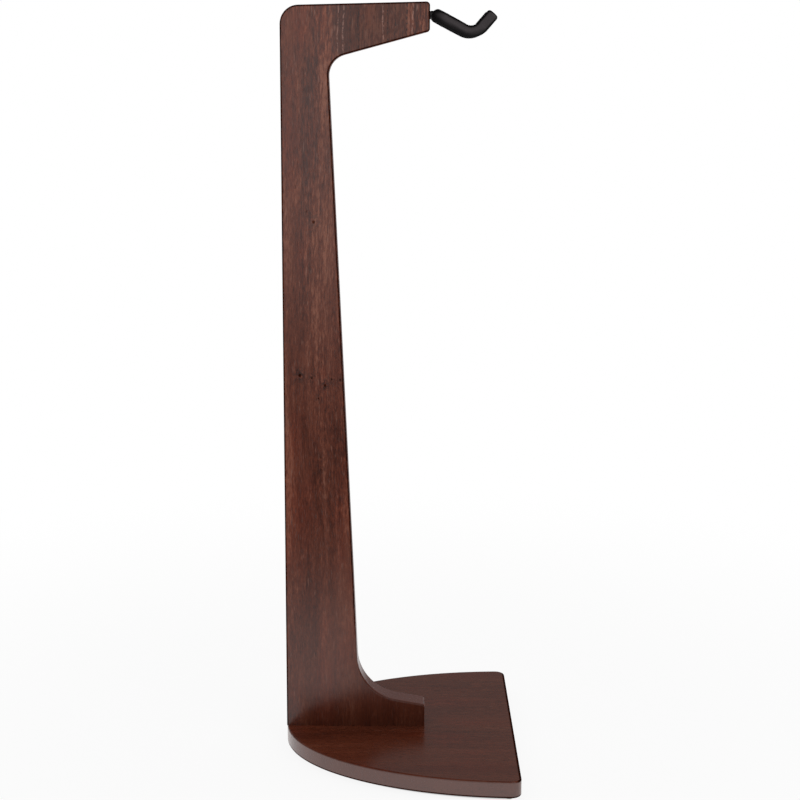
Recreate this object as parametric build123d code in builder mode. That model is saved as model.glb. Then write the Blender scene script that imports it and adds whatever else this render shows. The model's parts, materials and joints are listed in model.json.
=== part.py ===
from build123d import *
import os
from math import cos, radians, tan

# Floor stand that hangs a guitar or another necked instrument by its headstock.
# Millimetres, +Z up. The origin lies on the floor under the middle of the base plate.
# +X points from the post towards the open side, where the instrument hangs.

# Base plate: half of an ellipse in plan, its straight edge at the front
plate_length = 327.0
plate_width = 400.0
plate_thickness = 24.0
plate_corner_radius = 14.0
plate_edge_radius = 2.5

# Rubber feet and the screws that hold them
foot_height = 6.0
foot_top_radius = 10.0
foot_bottom_radius = 8.5
foot_lip_radius = 1.0
foot_recess_radius = 4.6
foot_recess_depth = 4.5
foot_hole_radius = 2.1
foot_front_inset = 16.0
foot_front_y = 179.0
foot_rear_inset = 62.0
foot_rear_y = 62.0
foot_washer_radius = 4.5
foot_washer_thickness = 1.0
foot_screw_radius = 1.75
foot_screw_length = 16.0
foot_screw_point_length = 3.0
foot_screw_point_radius = 0.25
foot_screw_pilot_depth = 14.0
foot_screw_head_radius = 3.5
foot_screw_head_height = 2.2
foot_screw_head_rim = 0.7
foot_screw_head_flat_radius = 1.8
foot_screw_head_bulge = (2.95, 1.65)
foot_screw_slot_length = 3.4
foot_screw_slot_width = 0.8
foot_screw_slot_depth = 1.3

# Upright: one board with the post, the arm at its top and the foot on the plate
board_thickness = 32.0
board_edge_radius = 2.5
total_height = 1048.2
arm_reach = 198.8
arm_top_drop = 5.6
arm_end_height = 38.2
arm_underside_angle = 15.3
throat_depth = 63.3
post_taper_angle = 2.63
heel_height = 80.0
toe_slope_angle = 10.4
back_corner_radius = 25.0
arm_top_radius = 5.0
arm_bottom_radius = 4.0
throat_radius = 28.0
heel_radius = 68.0
toe_radius = 4.0

# Joint between the plate and the upright
base_screw_positions = (35.0, 100.0, 165.0)
base_screw_radius = 3.0
base_screw_length = 45.0
base_screw_head_radius = 6.0
base_screw_hole_radius = 3.3
base_screw_sink = 0.4
base_screw_tip_chamfer = 1.0
base_screw_tip_room = 28.0
base_screw_socket_width = 4.0
base_screw_socket_depth = 2.6
base_insert_radius = 5.0
base_insert_length = 13.0
base_insert_sink = 0.5
base_insert_mouth_chamfer = 0.6
base_insert_lead_chamfer = 1.0
base_insert_groove_depth = 0.8
base_insert_groove_width = 2.0
base_insert_groove_floor = 0.8
dowel_positions = (68.0, 133.0)
dowel_hole_radius = 4.0
dowel_in_plate = 14.0
dowel_in_upright = 16.0
dowel_end_room = 0.5
dowel_chamfer = 1.0

# Pivot at the end of the arm
pivot_height = 1031.0
pivot_bolt_radius = 2.5
pivot_bolt_length = 35.0
pivot_head_radius = 4.75
pivot_head_height = 2.75
pivot_head_rim = 0.4
pivot_head_flat_radius = 2.4
pivot_head_bulge = (2.0, 3.8)
pivot_bolt_tip_chamfer = 0.8
pivot_bolt_tip_room = 24.0
pivot_bolt_clearance = 0.3
pivot_socket_width = 3.0
pivot_socket_depth = 1.6
arm_insert_radius = 4.0
arm_insert_length = 15.0
arm_insert_sink = 0.3
arm_insert_end_room = 0.2
arm_insert_lead_chamfer = 0.8
rear_washer_radius = 5.4
rear_washer_thickness = 0.8
front_washer_radius = 4.8
front_washer_thickness = 0.8
disc_spring_radius = 4.7
disc_spring_thickness = 0.5
disc_spring_height = 0.9
washer_hole_radius = 2.65
running_gap = 0.1

# Yoke: a bent rod held in a hub, with a soft sleeve over each prong
hub_radius = 5.6
hub_length = 12.0
hub_nose_radius = 0.8
hub_rear_chamfer = 0.5
hub_bore_clearance = 0.05
rod_radius = 4.0
rod_cross_hole_radius = 2.9
sleeve_radius = 8.05
sleeve_tip_wall = 3.0
sleeve_tip_radius = 4.0
bare_rod_length = 22.8
crossbar_reach = 7.0
prong_offset = 31.0
prong_bend_radius = 16.0
valley_reach = 58.5
valley_drop = 26.7
valley_radius = 20.5
tip_reach = 83.4
tip_rise = 1.9

# Press fits: the inner piece is this much larger in radius than its hole
press_interference = 0.03

rear = -plate_length / 2
front = plate_length / 2
plate_bottom = foot_height
plate_top = foot_height + plate_thickness
arm_end = rear + arm_reach
hub_rear = arm_end + rear_washer_thickness + running_gap
hub_front = hub_rear + hub_length
crossbar_x = arm_end + crossbar_reach
hexagon_flat_to_corner = 1 / cos(radians(30))

os.makedirs("parts", exist_ok=True)


def save(builder, label):
    """Labels one finished piece and writes it."""
    builder.part.label = label
    export_step(builder.part, f"parts/{label}.step")


def pivot_axis():
    """The line that the yoke swivels about."""
    return Axis((0, 0, pivot_height), (1, 0, 0))


def prong_points(side, tip_allowance):
    """Corners of one prong's centreline, from its bend beside the hub out to its tip."""
    y = side * prong_offset
    bend = Vector(crossbar_x, y, pivot_height)
    valley = Vector(arm_end + valley_reach, y, pivot_height - valley_drop)
    tip = Vector(arm_end + tip_reach, y, pivot_height + tip_rise)
    climb = (tip - valley).normalized()
    return [bend, valley, tip - climb * tip_allowance]


# ---------------------------------------------------------------- base plate
foot_positions = {
    "front_left": (front - foot_front_inset, foot_front_y),
    "front_right": (front - foot_front_inset, -foot_front_y),
    "rear_left": (rear + foot_rear_inset, foot_rear_y),
    "rear_right": (rear + foot_rear_inset, -foot_rear_y),
}

with BuildPart() as base_plate:
    with BuildSketch(Plane.XY.offset(plate_bottom)) as plan:
        with Locations((front, 0)):
            Ellipse(plate_length, plate_width / 2)
        Rectangle(plate_length, plate_width, mode=Mode.INTERSECT)
        fillet(plan.vertices().group_by(Axis.X)[-1], plate_corner_radius)
    extrude(amount=plate_thickness)
    rims = base_plate.faces().filter_by(Axis.Z).edges()
    fillet(rims, plate_edge_radius)
    under = [Plane((rear + x, 0, plate_bottom), z_dir=(0, 0, -1)) for x in base_screw_positions]
    sink_radius = base_screw_head_radius + base_screw_sink
    with Locations(*under):
        CounterSinkHole(base_screw_hole_radius, sink_radius, counter_sink_angle=90)
    pegs = [Plane((rear + x, 0, plate_top)) for x in dowel_positions]
    with Locations(*pegs):
        Hole(dowel_hole_radius, depth=dowel_in_plate)
    pilots = [Plane((x, y, plate_bottom), z_dir=(0, 0, -1)) for x, y in foot_positions.values()]
    with Locations(*pilots):
        Hole(foot_screw_radius - press_interference, depth=foot_screw_pilot_depth)
save(base_plate, "base_plate")

# ------------------------------------------------------------------- upright
arm_under_end = total_height - arm_end_height
throat_x = rear + throat_depth
throat_z = arm_under_end - (arm_reach - throat_depth) * tan(radians(arm_underside_angle))
heel_x = throat_x + (throat_z - heel_height) * tan(radians(post_taper_angle))
toe_z = heel_height - (arm_end - heel_x) * tan(radians(toe_slope_angle))

outline = [
    (rear, plate_top),
    (rear, total_height - arm_top_drop),
    (arm_end, total_height),
    (arm_end, arm_under_end),
    (throat_x, throat_z),
    (heel_x, heel_height),
    (arm_end, toe_z),
    (arm_end, plate_top),
]
outline_radii = [
    0,
    back_corner_radius,
    arm_top_radius,
    arm_bottom_radius,
    throat_radius,
    heel_radius,
    toe_radius,
    0,
]
base_insert_hole_depth = base_insert_length + base_insert_sink
arm_insert_hole_depth = arm_insert_length + arm_insert_sink + arm_insert_end_room

with BuildPart() as upright:
    with BuildSketch(Plane.XZ):
        with BuildLine():
            FilletPolyline(*outline, radius=outline_radii, close=True)
        make_face()
    extrude(amount=board_thickness / 2, both=True)
    outline_edges = upright.faces().filter_by(Axis.Y).edges()
    fillet(outline_edges - upright.edges().group_by(Axis.Z)[0], board_edge_radius)
    sole = [Plane((rear + x, 0, plate_top), z_dir=(0, 0, -1)) for x in base_screw_positions]
    with Locations(*sole):
        CounterBoreHole(
            base_screw_hole_radius,
            base_insert_radius,
            base_insert_hole_depth,
            depth=base_screw_tip_room,
        )
    sockets = [Plane((rear + x, 0, plate_top), z_dir=(0, 0, -1)) for x in dowel_positions]
    with Locations(*sockets):
        Hole(dowel_hole_radius, depth=dowel_in_upright)
    with Locations(Plane((arm_end, 0, pivot_height), z_dir=(1, 0, 0))):
        CounterBoreHole(
            pivot_bolt_radius + pivot_bolt_clearance,
            arm_insert_radius,
            arm_insert_hole_depth,
            depth=pivot_bolt_tip_room,
        )
save(upright, "upright")

# ------------------------------------------- screws, inserts and dowels below
screw_bottom = plate_bottom + base_screw_sink
head_cone = base_screw_head_radius - base_screw_radius

with BuildPart() as base_screw:
    with BuildSketch(Plane.XZ):
        with BuildLine():
            Polyline(
                (0, 0),
                (base_screw_head_radius, 0),
                (base_screw_radius, head_cone),
                (base_screw_radius, base_screw_length - base_screw_tip_chamfer),
                (base_screw_radius - base_screw_tip_chamfer, base_screw_length),
                (0, base_screw_length),
                close=True,
            )
        make_face()
    revolve(axis=Axis.Z)
    with BuildSketch():
        RegularPolygon(base_screw_socket_width / 2 * hexagon_flat_to_corner, 6)
    extrude(amount=base_screw_socket_depth, mode=Mode.SUBTRACT)

with BuildPart() as base_screws:
    with Locations(*[(rear + x, 0, screw_bottom) for x in base_screw_positions]):
        add(base_screw.part)
save(base_screws, "base_screws")

insert_bore = base_screw_radius - press_interference
insert_wall = base_insert_radius + press_interference
insert_groove = base_insert_radius - base_insert_groove_depth
insert_middle = base_insert_length / 2

with BuildPart() as base_insert:
    with BuildSketch(Plane.XZ):
        with BuildLine():
            Polyline(
                (insert_bore, 0),
                (insert_wall - base_insert_mouth_chamfer, 0),
                (insert_wall, base_insert_mouth_chamfer),
                (insert_wall, insert_middle - base_insert_groove_width / 2),
                (insert_groove, insert_middle - base_insert_groove_floor / 2),
                (insert_groove, insert_middle + base_insert_groove_floor / 2),
                (insert_wall, insert_middle + base_insert_groove_width / 2),
                (insert_wall, base_insert_length - base_insert_lead_chamfer),
                (insert_wall - base_insert_lead_chamfer, base_insert_length),
                (insert_bore, base_insert_length),
                close=True,
            )
        make_face()
    revolve(axis=Axis.Z)

with BuildPart() as base_inserts:
    with Locations(*[(rear + x, 0, plate_top + base_insert_sink) for x in base_screw_positions]):
        add(base_insert.part)
save(base_inserts, "base_inserts")

dowel_length = dowel_in_plate + dowel_in_upright - 2 * dowel_end_room
dowel_middle = plate_top + (dowel_in_upright - dowel_in_plate) / 2

with BuildPart() as dowel:
    Cylinder(dowel_hole_radius + press_interference, dowel_length)
    chamfer(dowel.edges().filter_by(GeomType.CIRCLE), dowel_chamfer)

with BuildPart() as alignment_dowels:
    with Locations(*[(rear + x, 0, dowel_middle) for x in dowel_positions]):
        add(dowel.part)
save(alignment_dowels, "alignment_dowels")

# ---------------------------------------------------------------- rubber feet
for place, (foot_x, foot_y) in foot_positions.items():
    with BuildPart() as foot:
        with BuildSketch(Plane((foot_x, foot_y, 0))):
            Circle(foot_bottom_radius)
        with BuildSketch(Plane((foot_x, foot_y, foot_height))):
            Circle(foot_top_radius)
        loft()
        fillet(foot.edges().group_by(Axis.Z)[0], foot_lip_radius)
        with Locations(Plane((foot_x, foot_y, 0), z_dir=(0, 0, -1))):
            CounterBoreHole(foot_hole_radius, foot_recess_radius, foot_recess_depth)
    save(foot, f"foot_{place}")

washer_bottom = foot_recess_depth - foot_washer_thickness

with BuildPart() as foot_washers:
    for foot_x, foot_y in foot_positions.values():
        with BuildSketch(Plane((foot_x, foot_y, washer_bottom))):
            Circle(foot_washer_radius)
            Circle(foot_hole_radius, mode=Mode.SUBTRACT)
    extrude(amount=foot_washer_thickness)
save(foot_washers, "foot_washers")

head_flat = (foot_screw_head_flat_radius, -foot_screw_head_height)
head_bulge = (foot_screw_head_bulge[0], -foot_screw_head_bulge[1])
head_rim = (foot_screw_head_radius, -foot_screw_head_rim)

with BuildPart() as foot_screw:
    with BuildSketch(Plane.XZ):
        with BuildLine():
            ThreePointArc(head_flat, head_bulge, head_rim)
            Polyline(
                head_rim,
                (foot_screw_head_radius, 0),
                (foot_screw_radius, 0),
                (foot_screw_radius, foot_screw_length - foot_screw_point_length),
                (foot_screw_point_radius, foot_screw_length),
                (0, foot_screw_length),
                (0, -foot_screw_head_height),
                head_flat,
            )
        make_face()
    revolve(axis=Axis.Z)
    with BuildSketch(Plane.XY.offset(-foot_screw_head_height)):
        Rectangle(foot_screw_slot_length, foot_screw_slot_width)
        Rectangle(foot_screw_slot_width, foot_screw_slot_length)
    extrude(amount=foot_screw_slot_depth, mode=Mode.SUBTRACT)

with BuildPart() as foot_screws:
    with Locations(*[(x, y, washer_bottom) for x, y in foot_positions.values()]):
        add(foot_screw.part)
save(foot_screws, "foot_screws")

# --------------------------------------------------------------------- pivot
front_washer_rear = hub_front + running_gap
spring_rear = front_washer_rear + front_washer_thickness
spring_dish = disc_spring_height - disc_spring_thickness
bolt_head_rear = spring_rear + disc_spring_height
bolt_tip = bolt_head_rear - pivot_bolt_length
head_front = bolt_head_rear + pivot_head_height


def ring(x, radius, thickness):
    """A flat washer on the pivot bolt, from x forwards."""
    with BuildPart() as washer:
        with BuildSketch(Plane((x, 0, pivot_height), z_dir=(1, 0, 0))):
            Circle(radius)
            Circle(washer_hole_radius, mode=Mode.SUBTRACT)
        extrude(amount=thickness)
    return washer


save(ring(arm_end, rear_washer_radius, rear_washer_thickness), "washer_rear")
save(ring(front_washer_rear, front_washer_radius, front_washer_thickness), "washer_front")

with BuildPart() as disc_spring:
    with BuildSketch(Plane.XZ):
        with BuildLine():
            Polyline(
                (spring_rear + spring_dish, pivot_height + washer_hole_radius),
                (spring_rear, pivot_height + disc_spring_radius),
                (spring_rear + disc_spring_thickness, pivot_height + disc_spring_radius),
                (bolt_head_rear, pivot_height + washer_hole_radius),
                close=True,
            )
        make_face()
    revolve(axis=pivot_axis())
save(disc_spring, "disc_spring")

shank_top = pivot_height + pivot_bolt_radius
pivot_rim = (bolt_head_rear + pivot_head_rim, pivot_height + pivot_head_radius)
pivot_bulge = (bolt_head_rear + pivot_head_bulge[0], pivot_height + pivot_head_bulge[1])
pivot_flat = (head_front, pivot_height + pivot_head_flat_radius)

with BuildPart() as pivot_bolt:
    with BuildSketch(Plane.XZ):
        with BuildLine():
            Polyline(
                pivot_flat,
                (head_front, pivot_height),
                (bolt_tip, pivot_height),
                (bolt_tip, shank_top - pivot_bolt_tip_chamfer),
                (bolt_tip + pivot_bolt_tip_chamfer, shank_top),
                (bolt_head_rear, shank_top),
                (bolt_head_rear, pivot_height + pivot_head_radius),
                pivot_rim,
            )
            ThreePointArc(pivot_rim, pivot_bulge, pivot_flat)
        make_face()
    revolve(axis=pivot_axis())
    with BuildSketch(Plane((head_front, 0, pivot_height), z_dir=(1, 0, 0))):
        RegularPolygon(pivot_socket_width / 2 * hexagon_flat_to_corner, 6)
    extrude(amount=-pivot_socket_depth, mode=Mode.SUBTRACT)
save(pivot_bolt, "pivot_bolt")

with BuildPart() as arm_insert:
    with BuildSketch(Plane((arm_end - arm_insert_sink, 0, pivot_height), z_dir=(-1, 0, 0))):
        Circle(arm_insert_radius + press_interference)
        Circle(pivot_bolt_radius - press_interference, mode=Mode.SUBTRACT)
    extrude(amount=arm_insert_length)
    deep_rims = arm_insert.edges().filter_by(GeomType.CIRCLE).group_by(Axis.X)[0]
    chamfer(deep_rims.sort_by(SortBy.RADIUS)[-1], arm_insert_lead_chamfer)
save(arm_insert, "arm_insert")

# ---------------------------------------------------------------------- yoke
with BuildPart() as yoke_hub:
    with BuildSketch(Plane((hub_rear, 0, pivot_height), z_dir=(1, 0, 0))):
        Circle(hub_radius)
    extrude(amount=hub_length)
    fillet(yoke_hub.edges().group_by(Axis.X)[-1], hub_nose_radius)
    chamfer(yoke_hub.edges().group_by(Axis.X)[0], hub_rear_chamfer)
    with Locations(Plane((hub_front, 0, pivot_height), z_dir=(1, 0, 0))):
        Hole(pivot_bolt_radius + hub_bore_clearance)
    with Locations(Plane((crossbar_x, hub_radius, pivot_height), z_dir=(0, 1, 0))):
        Hole(rod_radius)
save(yoke_hub, "yoke_hub")

left = prong_points(1, sleeve_tip_wall)
right = prong_points(-1, sleeve_tip_wall)
rod_radii = [valley_radius, prong_bend_radius, prong_bend_radius, valley_radius]

with BuildPart() as yoke_rod:
    with BuildLine() as rod_path:
        FilletPolyline(*left[::-1], *right, radius=rod_radii)
    with BuildSketch(Plane(left[2], z_dir=left[1] - left[2])):
        Circle(rod_radius)
    sweep(path=rod_path.wires()[0])
    with Locations(Plane((crossbar_x + rod_radius, 0, pivot_height), z_dir=(1, 0, 0))):
        Hole(rod_cross_hole_radius)
save(yoke_rod, "yoke_rod")

hub_middle = Vector(crossbar_x, 0, pivot_height)

for name, side in (("left", 1), ("right", -1)):
    middle_plane = Plane(hub_middle, z_dir=(0, side, 0))
    outside = prong_points(side, 0)
    inside = prong_points(side, sleeve_tip_wall)
    with BuildPart() as sleeve:
        with BuildLine() as outer_path:
            FilletPolyline(hub_middle, *outside, radius=[prong_bend_radius, valley_radius])
        outer_wire = outer_path.wires()[0]
        with BuildSketch(middle_plane):
            Circle(sleeve_radius)
        sweep(path=outer_wire)
        tip_rim = sleeve.edges().filter_by(GeomType.CIRCLE).sort_by_distance(outside[2])[0]
        fillet(tip_rim, sleeve_tip_radius)
        root = outer_wire.position_at(bare_rod_length, PositionMode.LENGTH)
        away = outer_wire.tangent_at(bare_rod_length, PositionMode.LENGTH)
        split(bisect_by=Plane(root, z_dir=away), keep=Keep.TOP)
        with BuildLine() as inner_path:
            FilletPolyline(hub_middle, *inside, radius=[prong_bend_radius, valley_radius])
        with BuildSketch(middle_plane):
            Circle(rod_radius - press_interference)
        sweep(path=inner_path.wires()[0], mode=Mode.SUBTRACT)
    save(sleeve, f"sleeve_{name}")
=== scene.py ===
import json
from math import cos, pi, radians, sin

import bpy
import numpy as np
from mathutils import Matrix, Quaternion, Vector


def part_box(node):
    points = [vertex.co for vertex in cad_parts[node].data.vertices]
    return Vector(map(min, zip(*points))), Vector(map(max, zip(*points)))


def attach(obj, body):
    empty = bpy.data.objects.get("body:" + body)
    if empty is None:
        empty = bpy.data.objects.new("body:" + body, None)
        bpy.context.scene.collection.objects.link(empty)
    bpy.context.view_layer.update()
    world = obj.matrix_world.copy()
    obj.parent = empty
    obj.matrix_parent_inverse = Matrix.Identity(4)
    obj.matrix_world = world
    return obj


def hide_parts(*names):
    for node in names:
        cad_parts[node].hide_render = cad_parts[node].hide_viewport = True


# A wooden floor stand that hangs a guitar by its headstock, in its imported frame.
# Metres, +Z up, +X towards the open front of the stand, -Y to its right.

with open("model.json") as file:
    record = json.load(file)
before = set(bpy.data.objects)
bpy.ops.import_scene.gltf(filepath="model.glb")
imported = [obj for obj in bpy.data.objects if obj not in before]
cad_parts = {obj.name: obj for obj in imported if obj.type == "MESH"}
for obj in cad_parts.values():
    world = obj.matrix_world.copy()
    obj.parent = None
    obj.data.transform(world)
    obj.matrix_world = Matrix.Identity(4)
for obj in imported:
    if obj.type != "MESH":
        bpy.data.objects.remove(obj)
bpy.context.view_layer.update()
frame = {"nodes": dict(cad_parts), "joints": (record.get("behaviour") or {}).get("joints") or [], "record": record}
scene = bpy.context.scene

post_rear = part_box("upright")[0].x
arm_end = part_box("upright")[1].x
arm_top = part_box("upright")[1].z
plate_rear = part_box("base_plate")[0].x
plate_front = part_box("base_plate")[1].x
plate_half_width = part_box("base_plate")[1].y
plate_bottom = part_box("base_plate")[0].z
plate_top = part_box("base_plate")[1].z
pivot = Vector(frame["joints"][0]["pos_m"])

# Yoke: the same centreline and sizes as its rod and sleeves in the design
SLEEVE_RADIUS = 0.00805
BORE_RADIUS = 0.00402
SLEEVE_TIP_WALL = 0.003
SLEEVE_TIP_RADIUS = 0.004
BARE_ROD_LENGTH = 0.0228
CROSSBAR_REACH = 0.007
PRONG_OFFSET = 0.031
PRONG_BEND_RADIUS = 0.016
VALLEY = Vector((0.0585, 0.0, -0.0267))
VALLEY_RADIUS = 0.0205
TIP = Vector((0.0834, 0.0, 0.0019))

# Foam sleeves: their lips, and the creases, bulges and waves of their skin
ROOT_LIP_RADIUS = 0.0011
BORE_FLARE = 0.0003
SKIN_RADIUS = 0.006
CREASE_PITCH = 0.0046
CREASE_DEPTH = 0.00042
BEND_BULGE = 0.00022
LONG_WAVE = 0.00010
LONG_WAVE_TURN = 90
SHORT_WAVE = 0.00007
SHORT_WAVE_TURN = -210
TIP_DIMPLE = 0.0005

# How finely the sleeves are drawn, and the curvature below which they count as straight
SLEEVE_STEP = 0.0006
SLEEVE_SIDES = 64
BORE_STRIDE = 3
LIP_STEPS = 6
TIP_STEPS = 12
TIP_FACE_SHARES = (0.88, 0.7, 0.5, 0.3, 0.12)
LEAST_CURVATURE = 1.0

# Studio, with the camera's angles in degrees and its lens and sensor in millimetres
FLOOR_HALF = 14.0
KEY_PLACE = Vector((1.2, -1.7, 2.6))
KEY_TARGET = Vector((0.0, 0.0, 0.6))
KEY_SIZE = (1.4, 1.0)
KEY_POWER = 8.0
CAMERA_PLACE = (-0.0021, -2.1653, 0.9611)
CAMERA_PITCH = 11.804
CAMERA_ROLL = 0.2535
CAMERA_LENS = 71.33
CAMERA_SENSOR = 36.0
WHITE = (1.0, 1.0, 1.0, 1.0)


# ------------------------------------------------------------------ node tools
def new_material(name):
    """A material with only its shader and output, its tree and its shader."""
    material = bpy.data.materials.new(name)
    material.use_nodes = True
    tree = material.node_tree
    return material, tree, tree.nodes["Principled BSDF"]


def connect(tree, value, socket):
    """Sets a socket to a number or a colour, or links another node's output to it."""
    if isinstance(value, bpy.types.NodeSocket):
        tree.links.new(value, socket)
    else:
        socket.default_value = value


def math_node(tree, operation, first, second=0.0):
    node = tree.nodes.new("ShaderNodeMath")
    node.operation = operation
    connect(tree, first, node.inputs[0])
    connect(tree, second, node.inputs[1])
    return node.outputs[0]


def product(tree, first, *others):
    """The values multiplied together."""
    for other in others:
        first = math_node(tree, "MULTIPLY", first, other)
    return first


def largest(tree, first, *others):
    """The largest of the values."""
    for other in others:
        first = math_node(tree, "MAXIMUM", first, other)
    return first


def vector_node(tree, operation, first, second=(0.0, 0.0, 0.0), output="Vector"):
    node = tree.nodes.new("ShaderNodeVectorMath")
    node.operation = operation
    connect(tree, first, node.inputs[0])
    connect(tree, second, node.inputs[1])
    return node.outputs[output]


def axes(tree, vector):
    """A vector's X, Y and Z, by name."""
    node = tree.nodes.new("ShaderNodeSeparateXYZ")
    connect(tree, vector, node.inputs["Vector"])
    return node.outputs


def ramp(tree, value, low, high, out_low=0.0, out_high=1.0):
    """A smooth step from out_low to out_high, while value goes from low to high."""
    node = tree.nodes.new("ShaderNodeMapRange")
    node.interpolation_type = "SMOOTHSTEP"
    connect(tree, value, node.inputs["Value"])
    node.inputs["From Min"].default_value = low
    node.inputs["From Max"].default_value = high
    node.inputs["To Min"].default_value = out_low
    node.inputs["To Max"].default_value = out_high
    return node.outputs["Result"]


def noise(tree, vector, scale, detail=2.0, roughness=0.5, output="Fac"):
    """Noise with this many waves to the metre along each axis."""
    stretched = vector_node(tree, "MULTIPLY", vector, scale)
    node = tree.nodes.new("ShaderNodeTexNoise")
    connect(tree, stretched, node.inputs["Vector"])
    node.inputs["Scale"].default_value = 1.0
    node.inputs["Detail"].default_value = detail
    node.inputs["Roughness"].default_value = roughness
    return node.outputs[output]


def wobbled(tree, place, source, scale, detail, reach):
    """A place pushed about by noise over source, by up to half of reach on each axis."""
    drift = noise(tree, source, scale, detail, output="Color")
    drift = vector_node(tree, "SUBTRACT", drift, (0.5, 0.5, 0.5))
    return vector_node(tree, "ADD", place, vector_node(tree, "MULTIPLY", drift, (reach,) * 3))


def mixed(tree, factor, first, second, blend="MIX"):
    """One colour blended over another by a factor."""
    node = tree.nodes.new("ShaderNodeMix")
    node.data_type = "RGBA"
    node.blend_type = blend
    connect(tree, factor, node.inputs["Factor"])
    connect(tree, first, node.inputs["A"])
    connect(tree, second, node.inputs["B"])
    return node.outputs["Result"]


def blended_shaders(tree, factor, first, second):
    node = tree.nodes.new("ShaderNodeMixShader")
    connect(tree, factor, node.inputs["Fac"])
    connect(tree, first, node.inputs[1])
    connect(tree, second, node.inputs[2])
    return node.outputs["Shader"]


def color_ramp(tree, value, stops):
    """A colour for each value, from stops of (position, colour)."""
    node = tree.nodes.new("ShaderNodeValToRGB")
    connect(tree, value, node.inputs["Fac"])
    elements = node.color_ramp.elements
    while len(elements) < len(stops):
        elements.new(0.5)
    for element, (position, color) in zip(elements, stops):
        element.position = position
        element.color = (*color, 1.0)
    return node.outputs["Color"]


def bump(tree, height, distance, normal=None):
    node = tree.nodes.new("ShaderNodeBump")
    node.inputs["Distance"].default_value = distance
    connect(tree, height, node.inputs["Height"])
    if normal is not None:
        connect(tree, normal, node.inputs["Normal"])
    return node.outputs["Normal"]


def coordinates(tree, output="Object"):
    return tree.nodes.new("ShaderNodeTexCoord").outputs[output]


def facing(tree, direction):
    """How far a surface's normal points along a direction."""
    normal = coordinates(tree, "Normal")
    return vector_node(tree, "DOT_PRODUCT", normal, direction, "Value")


def weighted_sum(tree, start, parts):
    """start plus each (value, weight), with every value centred on one half."""
    total = start
    for value, weight in parts:
        centred = math_node(tree, "SUBTRACT", value, 0.5)
        total = math_node(tree, "ADD", math_node(tree, "MULTIPLY", centred, weight), total)
    return total


def up_and_out(tree, place):
    """A place's height, and its distance from the upright's rear edge."""
    parts = axes(tree, place)
    return parts["Z"], math_node(tree, "SUBTRACT", parts["X"], post_rear)


def from_plate_front(tree):
    """A place as measured from the middle of the plate's front edge, on the floor."""
    return vector_node(tree, "SUBTRACT", coordinates(tree), (plate_front, 0.0, 0.0))


def plate_reach(tree):
    """How far out a place is on the plate's half ellipse: 0 amid its front edge, 1 at its rim."""
    shares = (1 / (plate_front - plate_rear), 1 / plate_half_width, 0.0)
    scaled = vector_node(tree, "MULTIPLY", from_plate_front(tree), shares)
    return vector_node(tree, "LENGTH", scaled, output="Value")


# --------------------------------------------------------------- walnut boards
# Colours, as linear light
WALNUT_TONES = [
    (0.05, (0.036, 0.0070, 0.0034)),
    (0.36, (0.070, 0.0150, 0.0072)),
    (0.62, (0.104, 0.0252, 0.0125)),
    (0.95, (0.175, 0.0620, 0.0400)),
]
RED_TINT = (1.12, 0.88, 0.75, 1.0)
LINE_COLOR = (0.032, 0.0070, 0.0040, 1.0)
PORE_COLOR = (0.022, 0.005, 0.003, 1.0)
FLECK_COLOR = (0.19, 0.090, 0.065, 1.0)
SMUDGE_COLOR = (0.020, 0.005, 0.003, 1.0)
KNOT_COLOR = (0.008, 0.002, 0.001, 1.0)
# Painted shade low on the upright, where it stands on the plate
FOOT_SHADE_COLOR = (0.020, 0.004, 0.002, 1.0)
# Stain on the boards' eased edges; on the plate it also carries painted shade and contact shadow
EDGE_STAIN_AND_SHADE_COLOR = (0.012, 0.003, 0.002, 1.0)
ARM_SHADE_COLOR = (0.040, 0.010, 0.005, 1.0)
ARM_DARK_COLOR = (0.016, 0.004, 0.003, 1.0)
ARM_LIGHT_COLOR = (0.270, 0.140, 0.110, 1.0)

# Where the upright's finish changes, each as where a change starts and ends: UP is a
# height, OUT a distance from its rear edge.
# The next two pairs place painted shade low on the upright, just above the plate.
FOOT_SHADE_UP = (plate_top + 0.010, plate_top + 0.080)
FOOT_SHADE_OUT = (0.008, 0.035)
EDGE_STAIN_UP = (plate_top + 0.090, plate_top + 0.190)
EDGE_STAIN_OUT = (0.006, 0.003)
GLOSS_UP = (plate_top + 0.010, plate_top + 0.070)
GLOSS_OUT = (0.040, 0.012)
LESS_GLOSS_OUT = (0.070, 0.110)
POST_GRAIN_UP = (plate_top + 0.270, plate_top + 0.420)
ARM_GRAIN_UP = (arm_top - 0.148, arm_top - 0.078)
ARM_GRAIN_OUT = (0.030, 0.100)
ARM_STREAKS_UP = (arm_top - 0.118, arm_top - 0.063)
ARM_SHADE_OUT = (0.055, 0.085)
ARM_SHADE_END_OUT = (0.171, 0.166)

# The plate's darkened edges: painted shade back from its front, and stain with painted contact shadow up from the
# floor
FRONT_LIP_SHADE_BACK = (-0.0042, -0.0024)
LOWER_STAIN_AND_SHADOW_UP = (plate_bottom + 0.0036, plate_bottom + 0.0022)

# Pin knots in the post: distance from its rear edge, height above the plate, radius, darkness
PIN_KNOTS = [
    (0.0228, 0.5156, 0.0017, 0.85),
    (0.0391, 0.5124, 0.0014, 0.55),
    (0.0576, 0.5019, 0.0014, 0.80),
    (0.0485, 0.4835, 0.0010, 0.60),
    (0.0671, 0.5104, 0.0011, 0.55),
    (0.0788, 0.5098, 0.0014, 0.50),
    (0.0515, 0.3987, 0.0011, 0.50),
    (0.0514, 0.3814, 0.0012, 0.45),
    (0.0433, 0.7273, 0.0019, 0.55),
    (0.0339, 0.7415, 0.0013, 0.45),
]

# Streaks that cross the arm from top to bottom: distance from its rear edge, width
ARM_DARK_LINES = [(0.1685, 0.0018), (0.1430, 0.0014), (0.1530, 0.0012), (0.1040, 0.0014), (0.0930, 0.0010)]
ARM_LIGHT_LINES = [(0.0840, 0.0013), (0.1370, 0.0016), (0.0770, 0.0008), (0.1760, 0.0014)]


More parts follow.
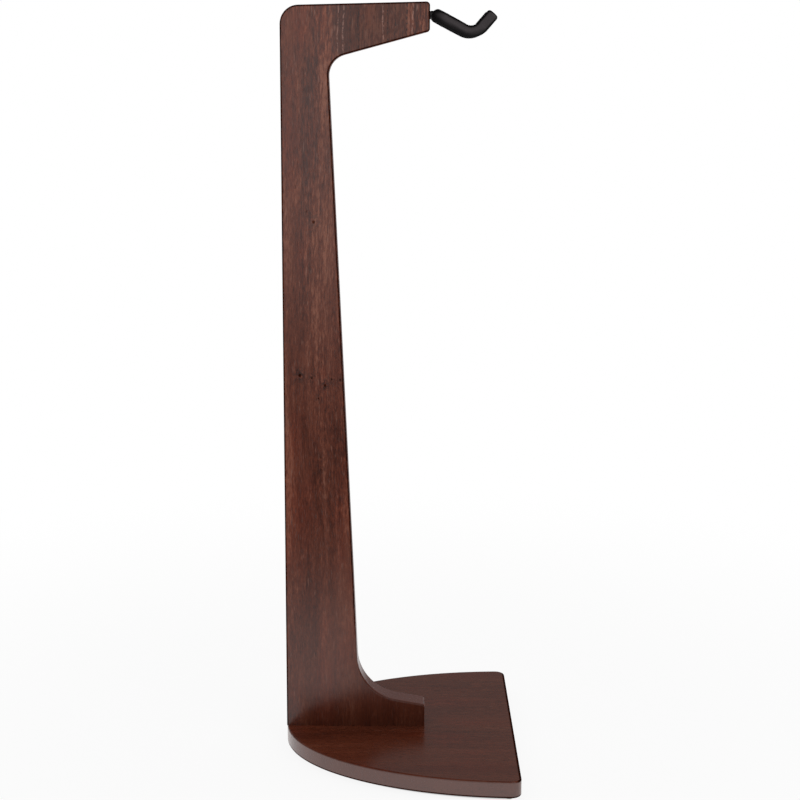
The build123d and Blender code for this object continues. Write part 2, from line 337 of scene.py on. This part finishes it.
def board_grain(tree, place, grain_axis, face_axis):
    """A function that makes noise stretched along a board's grain, and softly through it."""
    slow = [9.0] * 3
    slow[grain_axis] = 2.4
    warped = wobbled(tree, place, place, slow, 1.0, 0.024)

    def layer(across, lengthwise, detail=2.0, roughness=0.5):
        scale = [across] * 3
        scale[grain_axis] = lengthwise
        scale[face_axis] = across * 0.3
        return noise(tree, warped, scale, detail, roughness)

    return layer


def stained_wood(tree, layer, grain, pores, figured, depth):
    """The grain's tones under the stain, with redder patches, dark lines, pores and flecks."""
    tone = math_node(tree, "ADD", product(tree, grain, figured), 0.5)
    color = color_ramp(tree, tone, WALNUT_TONES)
    color = mixed(tree, 1.0, color, (depth, 0.93 * depth, 0.79 * depth, 1.0), "MULTIPLY")
    redder = ramp(tree, layer(24.0, 7.0, 2.0), 0.47, 0.68, 0.0, 0.7)
    color = mixed(tree, redder, color, RED_TINT, "MULTIPLY")
    lines = ramp(tree, layer(330.0, 12.0, 2.0, 0.5), 0.40, 0.30)
    color = mixed(tree, product(tree, lines, figured, 0.25), color, LINE_COLOR)
    color = mixed(tree, product(tree, pores, 0.4), color, PORE_COLOR)
    flecks = ramp(tree, layer(430.0, 55.0, 1.5), 0.62, 0.76)
    return mixed(tree, product(tree, flecks, figured, 0.35), color, FLECK_COLOR)


def arm_figure(tree):
    """How much stronger the grain shows in the arm, and how much weaker low in the post."""
    up, out = up_and_out(tree, coordinates(tree))
    arm = product(tree, ramp(tree, out, *ARM_GRAIN_OUT, 0.0, 0.9), ramp(tree, up, *ARM_GRAIN_UP))
    post = ramp(tree, up, *POST_GRAIN_UP, 0.75, 1.0)
    return math_node(tree, "ADD", arm, post)


def arm_streaks(tree, color):
    """Light and dark streaks across the arm, and a darker stretch from the post to near its end."""
    place = coordinates(tree)
    up, out = up_and_out(tree, wobbled(tree, place, place, (30.0, 30.0, 45.0), 3.0, 0.006))
    high = ramp(tree, up, *ARM_STREAKS_UP)
    broken = ramp(tree, noise(tree, place, (260.0, 60.0, 240.0), 2.0), 0.40, 0.58, 0.05, 1.0)
    broken = product(tree, broken, high)

    shade = ramp(tree, out, *ARM_SHADE_OUT, 0.0, 0.57)
    shade = product(tree, shade, ramp(tree, out, *ARM_SHADE_END_OUT), high)
    color = mixed(tree, shade, color, ARM_SHADE_COLOR)
    for lines, line_color, strength in (
        (ARM_DARK_LINES, ARM_DARK_COLOR, 0.90),
        (ARM_LIGHT_LINES, ARM_LIGHT_COLOR, 0.60),
    ):
        for distance, width in lines:
            gap = math_node(tree, "ABSOLUTE", math_node(tree, "SUBTRACT", out, distance))
            line = ramp(tree, gap, width * 0.2, width, strength, 0.0)
            color = mixed(tree, product(tree, line, broken), color, line_color)
    return color


def knot_mask(tree, spread, core):
    """How dark each pin knot is, fading from core to spread times its radius."""
    place = coordinates(tree)
    flat = (1.0, 0.0, 0.7)
    place = wobbled(tree, place, place, (420.0,) * 3, 1.0, 0.0022)
    place = vector_node(tree, "MULTIPLY", place, flat)
    mask = 0.0
    for from_rear, above_plate, radius, darkness in PIN_KNOTS:
        centre = Vector((post_rear + from_rear, 0.0, plate_top + above_plate)) * Vector(flat)
        gap = vector_node(tree, "DISTANCE", place, tuple(centre), "Value")
        spot = ramp(tree, gap, radius * core, radius * spread, darkness, 0.0)
        mask = largest(tree, mask, spot)
    return mask


def upright_marks(tree, place, color, knots):
    """Streaks across the arm, smudges round the pin knots, the knots, and painted shade low on the upright by the
    plate.
    """
    color = arm_streaks(tree, color)
    smudge = ramp(tree, noise(tree, place, (260.0, 60.0, 240.0), 2.0), 0.42, 0.56)
    smudge = product(tree, smudge, knot_mask(tree, 8.0, 1.0))
    color = mixed(tree, smudge, color, SMUDGE_COLOR)
    color = mixed(tree, knots, color, KNOT_COLOR)
    up, out = up_and_out(tree, coordinates(tree))
    # Painted shade: the upright darkens towards the plate, less near its rear edge.
    foot_shade = ramp(tree, up, *FOOT_SHADE_UP, 0.32, 0.0)
    foot_shade = product(tree, foot_shade, ramp(tree, out, *FOOT_SHADE_OUT, 0.3, 1.0))
    return mixed(tree, foot_shade, color, FOOT_SHADE_COLOR)


def eased_edges(tree, place, flatness):
    """Where a board's edges are rounded, with the stain there rubbed thinner in patches."""
    slant = product(tree, flatness, math_node(tree, "SUBTRACT", 1.0, flatness))
    wear_and_painted_light = ramp(tree, noise(tree, place, (120.0,) * 3, 3.0), 0.40, 0.70, 0.95, 0.6)
    return product(tree, ramp(tree, slant, 0.0, 0.06), wear_and_painted_light)


def upright_edge_stain(tree, eased):
    """Stain gathers on the upright's rear edges, and on the others above its foot."""
    up, out = up_and_out(tree, coordinates(tree))
    above_foot = ramp(tree, up, *EDGE_STAIN_UP, 0.12, 1.0)
    return product(tree, eased, largest(tree, above_foot, ramp(tree, out, *EDGE_STAIN_OUT)))


def plate_edge_stain_and_shade(tree, eased, flatness):
    """Stain on the plate's eased edges, darkest at its front and left as painted shade, a band of painted shade
    along its top's front edge, and a line all round its bottom edge that is partly stain and partly painted
    contact shadow.
    """
    # Painted shade: eased edges that face front and left are darkened fully, those at the right and rear hardly
    outward = facing(tree, (1.0, 0.6, 0.0))
    eased = product(tree, eased, ramp(tree, outward, -0.1, 0.25, 0.05, 1.0))
    place = axes(tree, from_plate_front(tree))
    # Painted shade: a dark band along the top's front edge
    lip = ramp(tree, place["X"], *FRONT_LIP_SHADE_BACK, 0.0, 0.9)
    lip = product(tree, lip, ramp(tree, flatness, 0.3, 0.6))
    # A dark line at the bottom edge, partly stain and partly painted contact shadow
    lower_stain_and_shadow = ramp(tree, place["Z"], *LOWER_STAIN_AND_SHADOW_UP, 0.0, 0.9)
    return largest(tree, eased, lip, lower_stain_and_shadow)


def upright_gloss(tree, narrow):
    """The lacquer's gloss: full on narrow edges and by the rear, less at the foot and far out."""
    up, out = up_and_out(tree, coordinates(tree))
    above_foot = ramp(tree, up, *GLOSS_UP, 0.45, 0.95)
    by_rear = ramp(tree, out, *GLOSS_OUT, 0.0, 0.95)
    full = largest(tree, above_foot, narrow, by_rear)
    return product(tree, full, ramp(tree, out, *LESS_GLOSS_OUT, 1.0, 0.80))


def walnut(name, grain_axis, face_axis, seed, figure, depth, narrow_color, upright=False):
    """Walnut-stained hardwood under satin lacquer.

    figure is the strength of its grain, depth the strength of its stain, and
    narrow_color what its narrow sides tend to.
    """
    material, tree, shader = new_material(name)
    place = vector_node(tree, "ADD", coordinates(tree), seed)
    layer = board_grain(tree, place, grain_axis, face_axis)
    bands = layer(34.0, 3.4, 2.0, 0.55)
    streaks = layer(165.0, 11.0, 3.0, 0.6)
    speckle = layer(440.0, 95.0, 3.0, 0.65)
    fibres = layer(950.0, 34.0, 3.0, 0.6)
    pores = ramp(tree, layer(1300.0, 80.0, 1.0), 0.62, 0.72)
    figured = ramp(tree, layer(16.0, 3.0, 1.0), 0.40, 0.62, 0.7 * figure, 1.25 * figure)
    if upright:
        figured = product(tree, figured, arm_figure(tree))
    grain = weighted_sum(tree, 0.0, [(bands, 0.95), (streaks, 0.80), (speckle, 1.25), (fibres, 0.45)])
    color = stained_wood(tree, layer, grain, pores, figured, depth)
    height = weighted_sum(tree, 0.5, [(fibres, 0.5), (streaks, 0.3)])
    height = math_node(tree, "SUBTRACT", height, product(tree, pores, 0.6))

    # 1 on the board's two broad faces, 0 on its narrow sides
    across = [0.0] * 3
    across[face_axis] = 1.0
    flatness = facing(tree, across)
    flatness = product(tree, flatness, flatness)
    narrow = ramp(tree, flatness, 0.5, 0.1)
    eased = eased_edges(tree, place, flatness)
    if upright:
        knots = knot_mask(tree, 1.6, 0.4)
        color = upright_marks(tree, place, color, knots)
        height = math_node(tree, "SUBTRACT", height, knots)
        eased = upright_edge_stain(tree, eased)
        dull = largest(tree, eased, knots)
        lacquer = upright_gloss(tree, narrow)
    else:
        eased = plate_edge_stain_and_shade(tree, eased, flatness)
        dull = eased
        lacquer = 1.0
    color = mixed(tree, product(tree, narrow, 0.6), color, (*narrow_color, 1.0))
    # Edge stain, which on the plate is partly painted shade
    color = mixed(tree, eased, color, EDGE_STAIN_AND_SHADE_COLOR)
    shine = product(tree, ramp(tree, dull, 0.15, 0.6, 0.5, 0.0), lacquer)
    roughness = weighted_sum(tree, 0.23, [(streaks, 0.12), (bands, 0.10)])
    roughness = math_node(tree, "ADD", roughness, product(tree, pores, 0.2))
    skin = bump(tree, noise(tree, place, (240.0,) * 3, 2.0), 0.00003)
    connect(tree, color, shader.inputs["Base Color"])
    connect(tree, shine, shader.inputs["Specular IOR Level"])
    connect(tree, roughness, shader.inputs["Roughness"])
    connect(tree, bump(tree, height, 0.00005, skin), shader.inputs["Normal"])
    return material


# ------------------------------------------------------------- other materials
def sleeve_rubber():
    """Matte black foam rubber with a fine-celled skin."""
    material, tree, shader = new_material("sleeve_rubber")
    place = coordinates(tree)
    mottle = noise(tree, place, (130.0,) * 3, 3.0)
    grit = noise(tree, place, (2600.0,) * 3, 2.0, 0.7)
    cells = tree.nodes.new("ShaderNodeTexVoronoi")
    connect(tree, place, cells.inputs["Vector"])
    cells.inputs["Scale"].default_value = 1500.0
    dust = ramp(tree, noise(tree, place, (900.0,) * 3, 2.0), 0.6, 0.8, 0.0, 0.25)
    color = mixed(tree, mottle, (0.039, 0.0335, 0.035, 1.0), (0.054, 0.047, 0.049, 1.0))
    color = mixed(tree, dust, color, (0.08, 0.073, 0.073, 1.0))

    # Painted light and shade: only faces turned sideways are painted paler, less so towards the underside and near
    # the root by the hub; the top, the ends and the underside are painted near black.
    flank = facing(tree, (0.0, 1.0, 0.0))
    flank = ramp(tree, product(tree, flank, flank), 0.34, 0.74)
    upper = ramp(tree, facing(tree, (0.5, 0.0, 0.86)), -0.55, 0.22, 0.12, 1.0)
    beyond_root = ramp(tree, axes(tree, place)["X"], arm_end + 0.006, arm_end + 0.022, 0.32, 1.0)
    wear_and_painted_light = product(tree, flank, upper, beyond_root)
    color = mixed(tree, wear_and_painted_light, (0.004, 0.0035, 0.0038, 1.0), color)
    connect(tree, color, shader.inputs["Base Color"])
    connect(tree, ramp(tree, mottle, 0.3, 0.7, 0.60, 0.75), shader.inputs["Roughness"])
    shader.inputs["Specular IOR Level"].default_value = 0.045
    coarse = bump(tree, mottle, 0.0002)
    pits = bump(tree, cells.outputs["Distance"], 0.00008, coarse)
    connect(tree, bump(tree, grit, 0.00005, pits), shader.inputs["Normal"])
    return material


def foot_rubber():
    """Moulded solid rubber, scuffed paler where it touches the floor."""
    material, tree, shader = new_material("foot_rubber")
    place = coordinates(tree)
    grit = noise(tree, place, (1800.0,) * 3, 3.0, 0.6)
    worn = ramp(tree, axes(tree, place)["Z"], 0.0025, 0.0)
    color = mixed(tree, grit, (0.009, 0.009, 0.009, 1.0), (0.020, 0.0195, 0.019, 1.0))
    color = mixed(tree, product(tree, worn, 0.5), color, (0.034, 0.032, 0.030, 1.0))
    connect(tree, color, shader.inputs["Base Color"])
    connect(tree, ramp(tree, grit, 0.3, 0.7, 0.55, 0.75), shader.inputs["Roughness"])
    shader.inputs["Specular IOR Level"].default_value = 0.2
    connect(tree, bump(tree, grit, 0.00006), shader.inputs["Normal"])
    return material


def metal(name, color, roughness, metallic=1.0):
    """Plated, painted or bare metal with patchy gloss and fine marks."""
    material, tree, shader = new_material(name)
    place = coordinates(tree)
    patches = noise(tree, place, (260.0,) * 3, 3.0)
    marks = noise(tree, place, (2400.0, 700.0, 2400.0), 3.0, 0.6)
    dark = [channel * 0.7 for channel in color]
    shade = mixed(tree, patches, (*dark, 1.0), (*color, 1.0))
    connect(tree, shade, shader.inputs["Base Color"])
    shader.inputs["Metallic"].default_value = metallic
    gloss = weighted_sum(tree, roughness, [(patches, 0.16), (marks, 0.12)])
    connect(tree, gloss, shader.inputs["Roughness"])
    connect(tree, bump(tree, marks, 0.00003), shader.inputs["Normal"])
    return material


def nylon():
    """Black nylon with a cloudy, half-matte surface."""
    material, tree, shader = new_material("nylon")
    cloud = noise(tree, coordinates(tree), (400.0,) * 3, 3.0)
    color = mixed(tree, cloud, (0.020, 0.020, 0.021, 1.0), (0.034, 0.034, 0.036, 1.0))
    connect(tree, color, shader.inputs["Base Color"])
    connect(tree, ramp(tree, cloud, 0.3, 0.7, 0.38, 0.5), shader.inputs["Roughness"])
    connect(tree, bump(tree, cloud, 0.00004), shader.inputs["Normal"])
    return material


def beech():
    """Bare pale beech with its rays and rings along the dowel."""
    material, tree, shader = new_material("beech_dowel")
    place = coordinates(tree)
    rays = noise(tree, place, (700.0, 700.0, 60.0), 3.0, 0.6)
    rings = noise(tree, place, (300.0, 300.0, 12.0), 2.0)
    tone = weighted_sum(tree, 0.5, [(rays, 0.8), (rings, 0.8)])
    color = color_ramp(tree, tone, [(0.2, (0.42, 0.25, 0.13)), (0.8, (0.68, 0.50, 0.32))])
    connect(tree, color, shader.inputs["Base Color"])
    connect(tree, ramp(tree, rays, 0.3, 0.7, 0.55, 0.7), shader.inputs["Roughness"])
    connect(tree, bump(tree, rays, 0.00008), shader.inputs["Normal"])
    return material


def finish_cad_nodes(sleeve_material):
    """Gives each board its own walnut, and every other CAD node its material slot's finish."""
    boards = {
        "upright": walnut(
            "walnut_upright",
            grain_axis=2,
            face_axis=1,
            seed=(0.0, 0.0, 0.0),
            figure=1.25,
            depth=0.93,
            narrow_color=(0.160, 0.068, 0.058),
            upright=True,
        ),
        "base_plate": walnut(
            "walnut_plate",
            grain_axis=0,
            face_axis=2,
            seed=(3.1, 1.7, 0.4),
            figure=0.60,
            depth=1.05,
            narrow_color=(0.092, 0.056, 0.051),
        ),
    }
    finishes = {
        "beech_dowel": beech(),
        "brass": metal("brass", (0.72, 0.50, 0.20), 0.28),
        "zinc_steel": metal("zinc_steel", (0.58, 0.59, 0.61), 0.30),
        "black_steel": metal("black_steel", (0.012, 0.012, 0.013), 0.45, 0.0),
        "black_oxide_screw": metal("black_oxide_screw", (0.06, 0.06, 0.065), 0.34, 0.9),
        "nylon": nylon(),
        "sleeve_rubber": sleeve_material,
        "foot_rubber": foot_rubber(),
    }
    for part in frame["record"]["subparts"]:
        name = part["node"]
        node = frame["nodes"][name]
        node.data.materials.clear()
        node.data.materials.append(boards.get(name) or finishes[part["material_slot"]])


# --------------------------------------------------------------------- sleeves
def rounded_line(points, radii, step):
    """Points about a step apart along straight runs joined by tangent arcs."""
    line = [points[0]]

    def run_to(goal):
        start = line[-1]
        count = max(1, round((goal - start).length / step))
        line.extend(start.lerp(goal, i / count) for i in range(1, count + 1))

    for before, corner, after, radius in zip(points, points[1:], points[2:], radii):
        inward = (before - corner).normalized()
        outward = (after - corner).normalized()
        half = inward.angle(outward) / 2
        reach = radius / np.tan(half)
        centre = corner + (inward + outward).normalized() * (radius / sin(half))
        run_to(corner + inward * reach)
        turn = pi - 2 * half
        axis = (corner - before).cross(after - corner).normalized()
        spoke = line[-1] - centre
        count = max(4, round(radius * turn / step))
        for i in range(1, count + 1):
            line.append(centre + Quaternion(axis, turn * i / count) @ spoke)
    run_to(points[-1])
    return line


def trimmed(line, length):
    """The line without its first stretch of this length."""
    for i, (near, far) in enumerate(zip(line, line[1:])):
        gap = (far - near).length
        if length < gap:
            return [near.lerp(far, length / gap)] + line[i + 1 :]
        length -= gap


def sleeve_line(side):
    """The centreline of one sleeve, from its root near the hub to its tip."""
    start = Vector((arm_end, side * PRONG_OFFSET, pivot.z))
    bend = start + Vector((CROSSBAR_REACH, 0.0, 0.0))
    middle = Vector((bend.x, 0.0, bend.z))
    corners = [middle, bend, start + VALLEY, start + TIP]
    line = rounded_line(corners, [PRONG_BEND_RADIUS, VALLEY_RADIUS], SLEEVE_STEP)
    return trimmed(line, BARE_ROD_LENGTH)


def carried_frames(line):
    """For each point of a line, its direction and two more across it that don't twist along it."""
    runs = [(b - a).normalized() for a, b in zip(line, line[1:])]
    corners = [(a + b).normalized() for a, b in zip(runs, runs[1:])]
    side = Vector((1.0, 0.0, 0.0))
    frames = []
    previous = runs[0]
    for tangent in [runs[0], *corners, runs[-1]]:
        side = previous.rotation_difference(tangent) @ side
        side = (side - tangent * side.dot(tangent)).normalized()
        frames.append((tangent, side, tangent.cross(side)))
        previous = tangent
    return frames


def turning(frames, far):
    """At each point of a line, how sharply it turns, and towards which side."""
    turns = [Vector()] * len(frames)
    for i in range(1, len(frames) - 1):
        turns[i] = (frames[i + 1][0] - frames[i - 1][0]) / (far[i + 1] - far[i - 1])
    return turns


def rounded_edge(radius, count):
    """Steps round an edge, each as (how far back from its end, how far in from its side)."""
    angles = [pi / 2 * i / count for i in range(count + 1)]
    return [(radius * (1 - sin(angle)), radius * (1 - cos(angle))) for angle in angles]


def sleeve_rows(far):
    """A sleeve's section, as rows of (distance along, radius).

    It runs out of the bore from its blind end, round the root's lip, along the
    outside and over the tip.
    """
    length = far[-1]
    blind = length - SLEEVE_TIP_WALL
    face = SLEEVE_RADIUS - SLEEVE_TIP_RADIUS
    lip = rounded_edge(ROOT_LIP_RADIUS, LIP_STEPS)
    rim = rounded_edge(SLEEVE_TIP_RADIUS, TIP_STEPS)
    rows = [(blind, 0.0)]
    rows += [(s, BORE_RADIUS) for s in far[::-BORE_STRIDE] if s < blind]
    rows += [(0.0, BORE_RADIUS + BORE_FLARE)]
    rows += [(back, SLEEVE_RADIUS - inward) for back, inward in reversed(lip)]
    rows += [(s, SLEEVE_RADIUS) for s in far if ROOT_LIP_RADIUS < s < length - SLEEVE_TIP_RADIUS]
    rows += [(length - back, SLEEVE_RADIUS - inward) for back, inward in rim]
    rows += [(length, face * share) for share in TIP_FACE_SHARES]
    rows += [(length, 0.0)]
    return rows


def skin_relief(distance, angle, inwards, bending, phase):
    """How far the foam's skin stands off its round section.

    inwards is 1 towards the inside of a bend and -1 away from it, and bending
    is 0 on a straight run and 1 in the sharpest bend.
    """
    crease = 0.5 - 0.5 * cos(2 * pi * distance / CREASE_PITCH + 0.6 * sin(3 * angle + phase))
    relief = -CREASE_DEPTH * max(0.0, inwards) ** 2 * bending * crease
    relief += BEND_BULGE * (1 - abs(inwards)) * bending
    relief += LONG_WAVE * sin(2 * angle + LONG_WAVE_TURN * distance + phase)
    relief += SHORT_WAVE * sin(5 * angle + SHORT_WAVE_TURN * distance + 2 * phase)
    return relief


def sleeve_rings(line, phase):
    """A sleeve's vertices, and the rings of their numbers from its blind bore to its tip."""
    frames = carried_frames(line)
    far = np.cumsum([0.0] + [(b - a).length for a, b in zip(line, line[1:])])
    turns = turning(frames, far)
    face = SLEEVE_RADIUS - SLEEVE_TIP_RADIUS
    vertices = []
    rings = []
    for distance, radius in sleeve_rows(far):
        at = float(np.interp(distance, far, np.arange(len(far))))
        low = min(int(at), len(line) - 2)
        share = at - low
        centre = line[low].lerp(line[low + 1], share)
        tangent, first, second = frames[low if share < 0.5 else low + 1]
        turn = turns[low].lerp(turns[low + 1], share)
        bends = turn.length > LEAST_CURVATURE
        inner = turn.normalized() if bends else Vector()
        bending = min(turn.length * VALLEY_RADIUS, 1.0) if bends else 0.0
        dimple = TIP_DIMPLE * max(0.0, 1 - radius / face) if distance >= far[-1] else 0.0
        ring = []
        for k in range(1 if radius == 0.0 else SLEEVE_SIDES):
            angle = 2 * pi * k / SLEEVE_SIDES
            out = first * cos(angle) + second * sin(angle)
            spread = radius
            if radius > SKIN_RADIUS:
                spread += skin_relief(distance, angle, out.dot(inner), bending, phase)
            ring.append(len(vertices))
            vertices.append(centre + out * spread - tangent * dimple)
        rings.append(ring)
    return vertices, rings


def faces_between(rings):
    """Faces that join each ring of vertices to the next, and close onto a ring of one."""
    faces = []
    for near, far in zip(rings, rings[1:]):
        for k in range(SLEEVE_SIDES):
            ahead = k + 1
            corners = (near[k % len(near)], near[ahead % len(near)], far[ahead % len(far)], far[k % len(far)])
            corners = list(dict.fromkeys(corners))
            if len(corners) > 2:
                faces.append(corners)
    return faces


def make_sleeve(name, side, phase, material):
    """A foam tube pushed over one prong, creased where it bends, closed at its tip."""
    vertices, rings = sleeve_rings(sleeve_line(side), phase)
    mesh = bpy.data.meshes.new(name)
    mesh.from_pydata(vertices, [], faces_between(rings))
    mesh.validate()
    mesh.polygons.foreach_set("use_smooth", [True] * len(mesh.polygons))
    mesh.materials.append(material)
    sleeve = bpy.data.objects.new(name, mesh)
    scene.collection.objects.link(sleeve)
    return sleeve


def add_sleeves(material):
    """Both sleeves, each with its own phase of creases and waves."""
    for label, side, phase in (("left", 1, 1.3), ("right", -1, 4.1)):
        sleeve = make_sleeve(f"foam_sleeve_{label}", side, phase, material)
        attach(sleeve, "yoke")
        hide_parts(f"sleeve_{label}")


# --------------------------------------------------------------- floor, lights
def open_floor(tree):
    """1 on the floor around the plate, falling to 0 under it."""
    ahead = axes(tree, from_plate_front(tree))["X"]
    return largest(
        tree, ramp(tree, plate_reach(tree), 0.915, 0.955), ramp(tree, ahead, -0.020, -0.012)
    )


def floor_in_gloss(tree, place):
    """What gloss shows of the floor.

    It is bright by the stand and far off to its right, dim at one to two metres,
    to its left, and well ahead of or behind it.
    """
    parts = axes(tree, place)
    near = ramp(tree, parts["Y"], -1.05, -0.40, 0.10, 1.15)
    far = ramp(tree, parts["Y"], -2.0, -8.0, 0.0, 1.45)
    aside = ramp(tree, math_node(tree, "ABSOLUTE", parts["X"]), 1.7, 0.7, 0.03, 1.0)
    left = ramp(tree, parts["Y"], 0.9, 0.1, 0.18, 1.0)
    sheen = tree.nodes.new("ShaderNodeEmission")
    strength = product(tree, math_node(tree, "ADD", near, far), aside, left)
    connect(tree, strength, sheen.inputs["Strength"])
    return sheen.outputs["Emission"]


def make_floor():
    """A pale floor that melts into the backdrop away from the stand."""
    mesh = bpy.data.meshes.new("floor")
    half = FLOOR_HALF
    corners = [(-half, -half, 0), (half, -half, 0), (half, half, 0), (-half, half, 0)]
    mesh.from_pydata(corners, [], [(0, 1, 2, 3)])
    floor = bpy.data.objects.new("floor", mesh)
    scene.collection.objects.link(floor)
    material, tree, shader = new_material("pale_floor")
    shader.inputs["Base Color"].default_value = (0.85, 0.85, 0.85, 1.0)
    shader.inputs["Roughness"].default_value = 0.9
    shader.inputs["Specular IOR Level"].default_value = 0.1

    # The glow's share grows away from the stand, and it lights things more than it shows.
    place = coordinates(tree)
    path = tree.nodes.new("ShaderNodeLightPath").outputs
    glow = tree.nodes.new("ShaderNodeEmission")
    glow_strength = ramp(tree, path["Is Camera Ray"], 0.0, 1.0, 1.6, 1.0)
    connect(tree, glow_strength, glow.inputs["Strength"])
    away = vector_node(tree, "LENGTH", place, output="Value")
    share = product(tree, ramp(tree, away, 0.35, 1.5, 0.90, 1.0), open_floor(tree))
    seen = blended_shaders(tree, share, shader.outputs["BSDF"], glow.outputs["Emission"])
    surface = blended_shaders(tree, path["Is Glossy Ray"], seen, floor_in_gloss(tree, place))
    connect(tree, surface, tree.nodes["Material Output"].inputs["Surface"])
    floor.data.materials.append(material)


def make_world():
    """White behind the stand, and a soft room around it."""
    world = bpy.data.worlds.new("studio")
    world.use_nodes = True
    scene.world = world
    tree = world.node_tree
    parts = axes(tree, coordinates(tree, "Generated"))
    along = parts["Y"]
    up = parts["Z"]
    path = tree.nodes.new("ShaderNodeLightPath").outputs

    # What gloss shows: a bright wall to the right, dimmer higher up, a faint one to the left
    right = ramp(tree, along, -0.35, -0.80, 0.0, 1.85)
    right = product(tree, right, ramp(tree, up, 0.20, -0.15, 0.38, 1.0))
    left = ramp(tree, along, 0.40, 0.80, 0.0, 0.18)
    shown = math_node(tree, "ADD", math_node(tree, "ADD", right, left), 0.03)

    # What lights the surfaces: soft light from all round, a little more from the left and above
    soft = ramp(tree, along, 0.7, -0.8, 0.68, 0.58)
    soft = product(tree, soft, ramp(tree, up, 0.25, 0.95, 1.0, 1.15))

    strength = tree.nodes.new("ShaderNodeMix")
    connect(tree, path["Is Glossy Ray"], strength.inputs["Factor"])
    connect(tree, soft, strength.inputs["A"])
    connect(tree, shown, strength.inputs["B"])
    room = tree.nodes["Background"]
    room.inputs["Color"].default_value = WHITE
    connect(tree, strength.outputs["Result"], room.inputs["Strength"])
    backdrop = tree.nodes.new("ShaderNodeBackground")
    backdrop.inputs["Color"].default_value = WHITE
    surface = blended_shaders(
        tree, path["Is Camera Ray"], room.outputs["Background"], backdrop.outputs["Background"]
    )
    connect(tree, surface, tree.nodes["World Output"].inputs["Surface"])


def make_key_light():
    """A weak softbox, high up ahead of the stand and to its right."""
    light = bpy.data.lights.new("key", "AREA")
    light.shape = "RECTANGLE"
    light.size, light.size_y = KEY_SIZE
    light.energy = KEY_POWER
    lamp = bpy.data.objects.new("key", light)
    lamp.location = KEY_PLACE
    lamp.rotation_euler = (KEY_TARGET - KEY_PLACE).to_track_quat("-Z", "Y").to_euler()
    scene.collection.objects.link(lamp)


def make_camera():
    """Stands off the stand's right side and looks slightly down."""
    camera = bpy.data.objects.new("camera", bpy.data.cameras.new("camera"))
    camera.data.lens = CAMERA_LENS
    camera.data.sensor_width = CAMERA_SENSOR
    place = Matrix.Translation(CAMERA_PLACE)
    tilt = Matrix.Rotation(pi / 2 - radians(CAMERA_PITCH), 4, "X")
    camera.matrix_world = place @ tilt @ Matrix.Rotation(radians(CAMERA_ROLL), 4, "Z")
    scene.collection.objects.link(camera)
    scene.camera = camera


sleeve_finish = sleeve_rubber()
finish_cad_nodes(sleeve_finish)
add_sleeves(sleeve_finish)
make_floor()
make_world()
make_key_light()
make_camera()
scene.view_settings.view_transform = "Standard"

bpy.context.view_layer.update()
